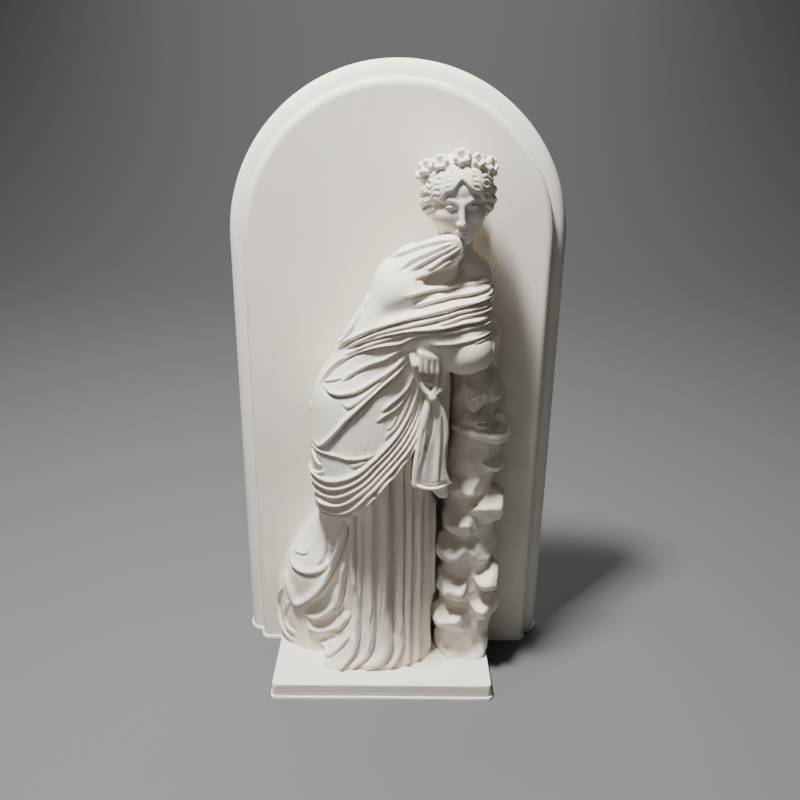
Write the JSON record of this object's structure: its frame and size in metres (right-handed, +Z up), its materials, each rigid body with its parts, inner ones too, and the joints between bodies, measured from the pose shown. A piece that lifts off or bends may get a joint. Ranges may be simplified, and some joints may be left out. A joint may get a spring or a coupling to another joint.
{
  "type": "plaster muse statue on a plinth with an arched panel",
  "caption": "Small plaster cast of a cloaked, wreathed muse leaning on a rock, on a low plinth in front of an arched moulded panel.",
  "frame": {"origin": "middle of the bounding box, on the underside that the cast stands on", "axes": "+Z up along the panel's height, +X to the right seen from the front, +Y to the back, so the figure faces -Y"},
  "size_m": [0.1122, 0.046, 0.207],
  "materials": {
    "plaster": "matt warm off-white cast plaster with a few pinholes"
  },
  "bodies": {
    "root": {"muse_statue": "plaster"}
  },
  "joints": []
}
